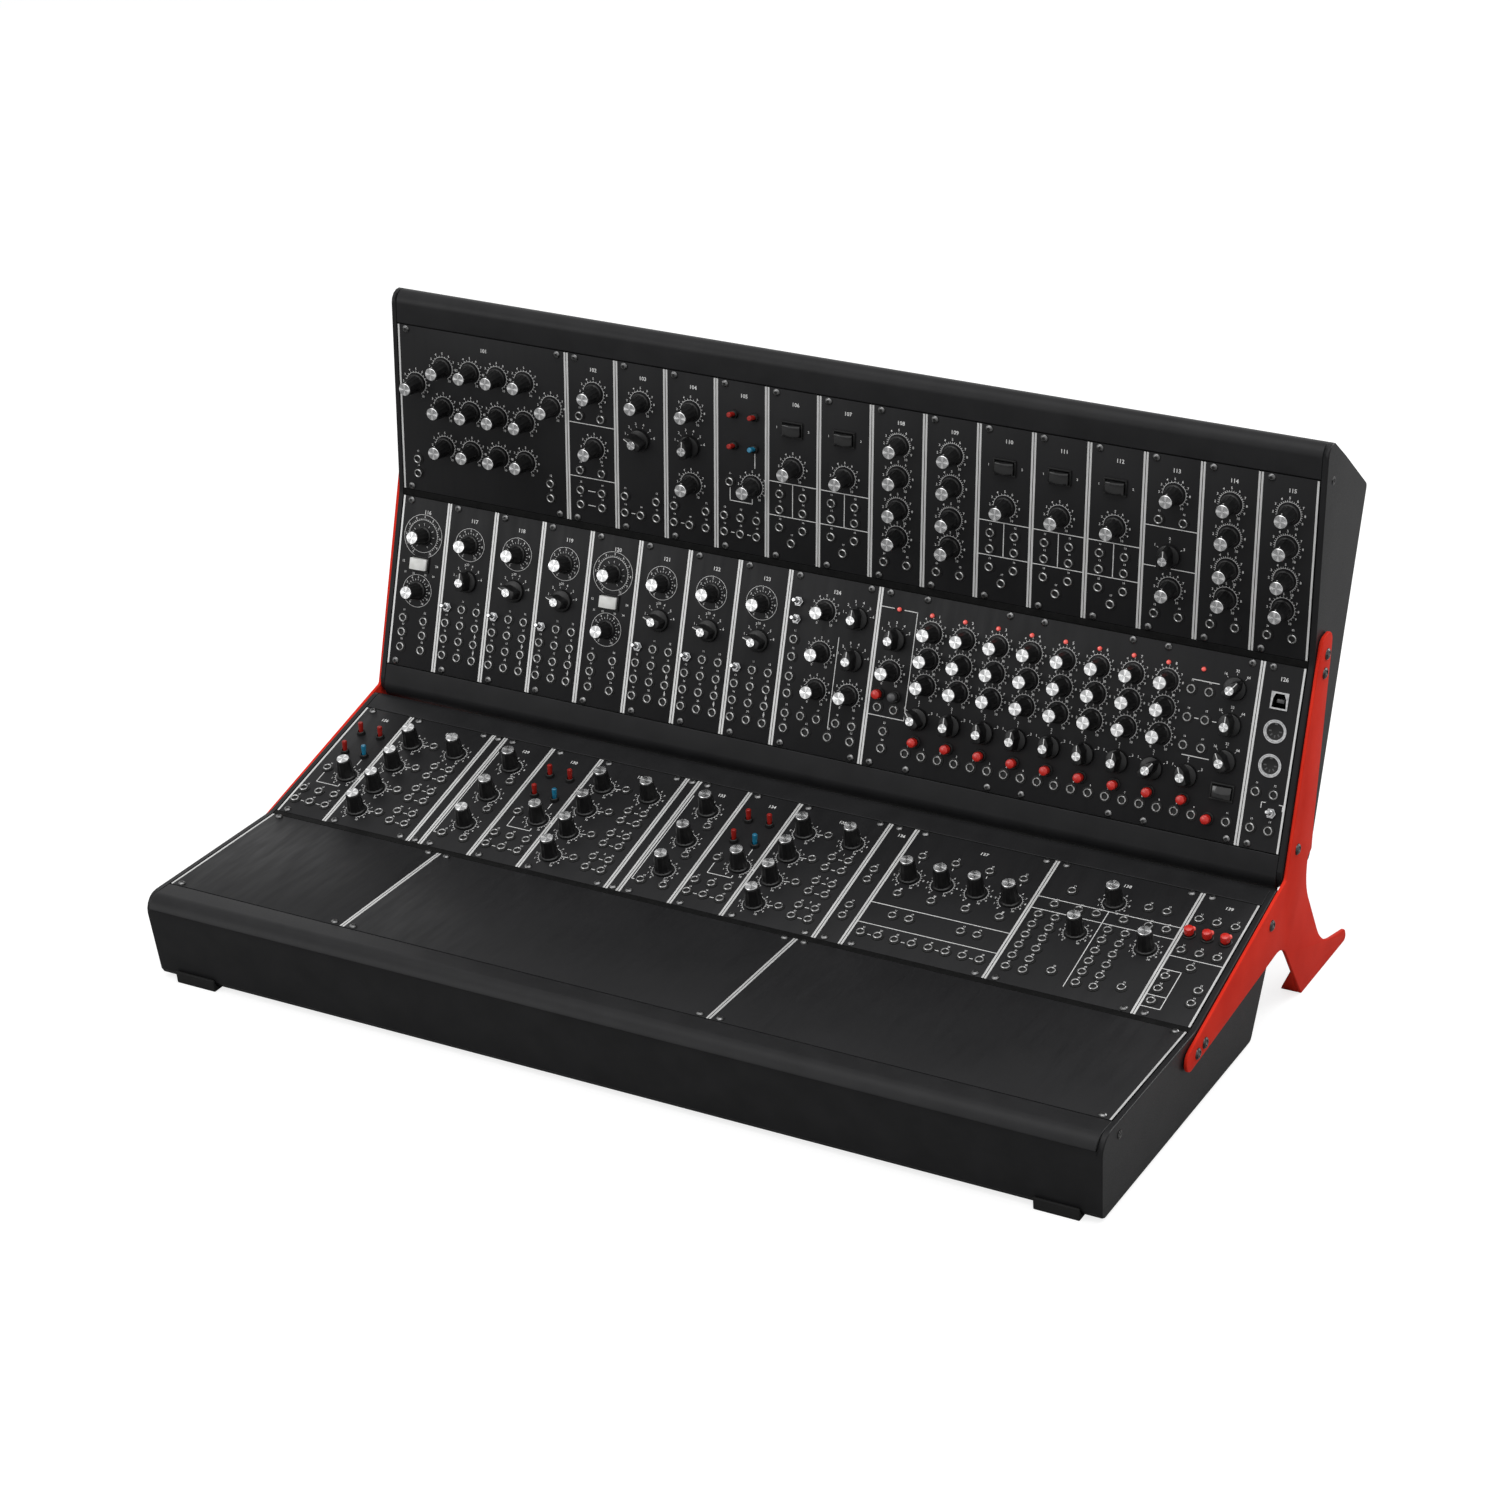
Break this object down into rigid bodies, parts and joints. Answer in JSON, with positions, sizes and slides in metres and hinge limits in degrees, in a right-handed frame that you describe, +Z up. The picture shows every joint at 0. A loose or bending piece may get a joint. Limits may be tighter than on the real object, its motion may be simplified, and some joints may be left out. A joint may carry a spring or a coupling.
{
  "type": "modular synthesizer",
  "caption": "Two-tier desktop modular synthesizer: two rack cases of control panels, one lying and one standing, joined by red side brackets.",
  "frame": {"origin": "on the floor under the middle of the whole object", "axes": "+X to the right as the player sees it, +Y to the back, +Z up"},
  "size_m": [0.7294, 0.4568, 0.41],
  "materials": {
    "panel": "satin black",
    "body": "satin black",
    "bracket": "satin red",
    "knob": "satin",
    "lever": "polished",
    "red": "satin",
    "blue": "satin",
    "grey": "satin",
    "white": "satin",
    "black": "satin",
    "rubber": "matt",
    "board": "matt",
    "steel": "plain"
  },
  "bodies": {
    "case": {"lower_case_pan": "body", "lower_front_lip": "body", "lower_middle_rail": "body", "lower_rear_lip": "body", "lower_left_cheek": "body", "lower_right_cheek": "body", "lower_bus_board": "board", "lower_power_supply": "steel", "lower_power_inlet": "black", "left_blank_panel": "panel", "middle_blank_panel": "panel", "right_blank_panel": "panel", "controller_and_mixer_panels": "panel", "attenuator_and_interface_panels": "panel", "third_row_circuit_board": "board", "front_left_foot": "rubber", "rear_left_foot": "rubber", "front_right_foot": "rubber", "rear_right_foot": "rubber", "upper_case_pan": "body", "upper_front_lip": "body", "upper_middle_rail": "body", "upper_rear_lip": "body", "upper_left_cheek": "body", "upper_right_cheek": "body", "upper_bus_board": "board", "upper_power_supply": "steel", "upper_power_inlet": "black", "oscillator_panels": "panel", "wide_oscillator_panel": "panel", "sequencer_panel": "panel", "converter_panel": "panel", "second_row_circuit_board": "board", "filter_bank_panel": "panel", "filter_and_envelope_panels": "panel", "amplifier_and_delay_panels": "panel", "top_row_circuit_board": "board", "left_bracket": "bracket", "right_bracket": "bracket"},
    "filter_bank_low_knob": {"filter_bank_low_knob": "knob"},
    "envelope_knob": {"envelope_knob": "knob"},
    "driver_knob": {"driver_knob": "knob"},
    "step_knob": {"step_knob": "knob"},
    "mixer_knob": {"mixer_knob": "knob"},
    "attenuator_knob": {"attenuator_knob": "knob"},
    "oscillator_range_selector": {"oscillator_range_selector": "knob"},
    "sequencer_range_selector": {"sequencer_range_selector": "knob"},
    "red_toggle": {"red_toggle": "red"},
    "blue_toggle": {"blue_toggle": "blue"},
    "oscillator_toggle": {"oscillator_toggle": "lever"},
    "converter_toggle": {"converter_toggle": "lever"},
    "amplifier_rocker": {"amplifier_rocker": "black"},
    "driver_rocker": {"driver_rocker": "white"},
    "sequencer_rocker": {"sequencer_rocker": "black"},
    "start_button": {"start_button": "red"},
    "stop_button": {"stop_button": "grey"},
    "step_button": {"step_button": "red"},
    "switch_button": {"switch_button": "red"},
    "lower_power_switch": {"lower_power_switch": "black"},
    "upper_power_switch": {"upper_power_switch": "black"}
  },
  "joints": [
    {"name": "filter_bank_low_knob_turn", "type": "hinge", "parent": "case", "child": "filter_bank_low_knob", "pos_m": [-0.34112, 0.11938, 0.34201], "axis": [0, -1, -0.007], "range_deg": [-150, 150]},
    {"name": "envelope_knob_turn", "type": "hinge", "parent": "case", "child": "envelope_knob", "pos_m": [0.05131, 0.11926, 0.35931], "axis": [0, -1, -0.007], "range_deg": [-150, 150]},
    {"name": "driver_knob_turn", "type": "hinge", "parent": "case", "child": "driver_knob", "pos_m": [-0.33528, 0.1122, 0.22467], "axis": [0, -0.9677, 0.2521], "range_deg": [-150, 150]},
    {"name": "step_knob_turn", "type": "hinge", "parent": "case", "child": "step_knob", "pos_m": [0.0828, 0.1128, 0.22699], "axis": [0, -0.9677, 0.2521], "range_deg": [-150, 150]},
    {"name": "mixer_knob_turn", "type": "hinge", "parent": "case", "child": "mixer_knob", "pos_m": [-0.2982, 0.02799, 0.09483], "axis": [0, -0.2588, 0.9659], "range_deg": [-150, 150]},
    {"name": "attenuator_knob_turn", "type": "hinge", "parent": "case", "child": "attenuator_knob", "pos_m": [0.11735, 0.00829, 0.08955], "axis": [0, -0.2588, 0.9659], "range_deg": [-150, 150]},
    {"name": "oscillator_range_selector_turn", "type": "hinge", "parent": "case", "child": "oscillator_range_selector", "pos_m": [-0.29362, 0.10531, 0.19825], "axis": [0, -0.9677, 0.2521], "range_deg": [-75, 75]},
    {"name": "sequencer_range_selector_turn", "type": "hinge", "parent": "case", "child": "sequencer_range_selector", "pos_m": [0.05563, 0.11043, 0.21789], "axis": [0, -0.9677, 0.2521], "range_deg": [-60, 60]},
    {"name": "red_toggle_flip", "type": "hinge", "parent": "case", "child": "red_toggle", "pos_m": [-0.07671, 0.11924, 0.36161], "axis": [1, 0, 0], "range_deg": [0, 24]},
    {"name": "blue_toggle_flip", "type": "hinge", "parent": "case", "child": "blue_toggle", "pos_m": [-0.06045, 0.11941, 0.33791], "axis": [1, 0, 0], "range_deg": [0, 24]},
    {"name": "oscillator_toggle_flip", "type": "hinge", "parent": "case", "child": "oscillator_toggle", "pos_m": [-0.30836, 0.09982, 0.17715], "axis": [1, 0, 0], "range_deg": [0, 24]},
    {"name": "converter_toggle_flip", "type": "hinge", "parent": "case", "child": "converter_toggle", "pos_m": [0.34595, 0.09369, 0.15363], "axis": [1, 0, 0], "range_deg": [0, 24]},
    {"name": "amplifier_rocker_rock", "type": "hinge", "parent": "case", "child": "amplifier_rocker", "pos_m": [-0.03099, 0.11927, 0.35721], "axis": [0, -0.007, 1], "range_deg": [-16, 0]},
    {"name": "driver_rocker_rock", "type": "hinge", "parent": "case", "child": "driver_rocker", "pos_m": [-0.33579, 0.1069, 0.20434], "axis": [0, 0.2521, 0.9677], "range_deg": [-16, 0]},
    {"name": "sequencer_rocker_rock", "type": "hinge", "parent": "case", "child": "sequencer_rocker", "pos_m": [0.30988, 0.09556, 0.1608], "axis": [0, 0.2521, 0.9677], "range_deg": [-16, 0]},
    {"name": "start_button_press", "type": "slide", "parent": "case", "child": "start_button", "axis": [0, -0.9677, 0.2521], "range_m": [-0.0015, 0], "stiffness_N_per_m": 200},
    {"name": "stop_button_press", "type": "slide", "parent": "case", "child": "stop_button", "axis": [0, -0.9677, 0.2521], "range_m": [-0.0015, 0], "stiffness_N_per_m": 200},
    {"name": "step_button_press", "type": "slide", "parent": "case", "child": "step_button", "axis": [0, -0.9677, 0.2521], "range_m": [-0.0015, 0], "stiffness_N_per_m": 200},
    {"name": "switch_button_press", "type": "slide", "parent": "case", "child": "switch_button", "axis": [0, -0.2588, 0.9659], "range_m": [-0.0015, 0], "stiffness_N_per_m": 200},
    {"name": "lower_power_switch_rock", "type": "hinge", "parent": "case", "child": "lower_power_switch", "pos_m": [0.225, 0.06119, 0.03641], "axis": [1, 0, 0], "range_deg": [-5, 5]},
    {"name": "upper_power_switch_rock", "type": "hinge", "parent": "case", "child": "upper_power_switch", "pos_m": [0.225, 0.18418, 0.37371], "axis": [1, 0, 0], "range_deg": [-5, 5]}
  ]
}
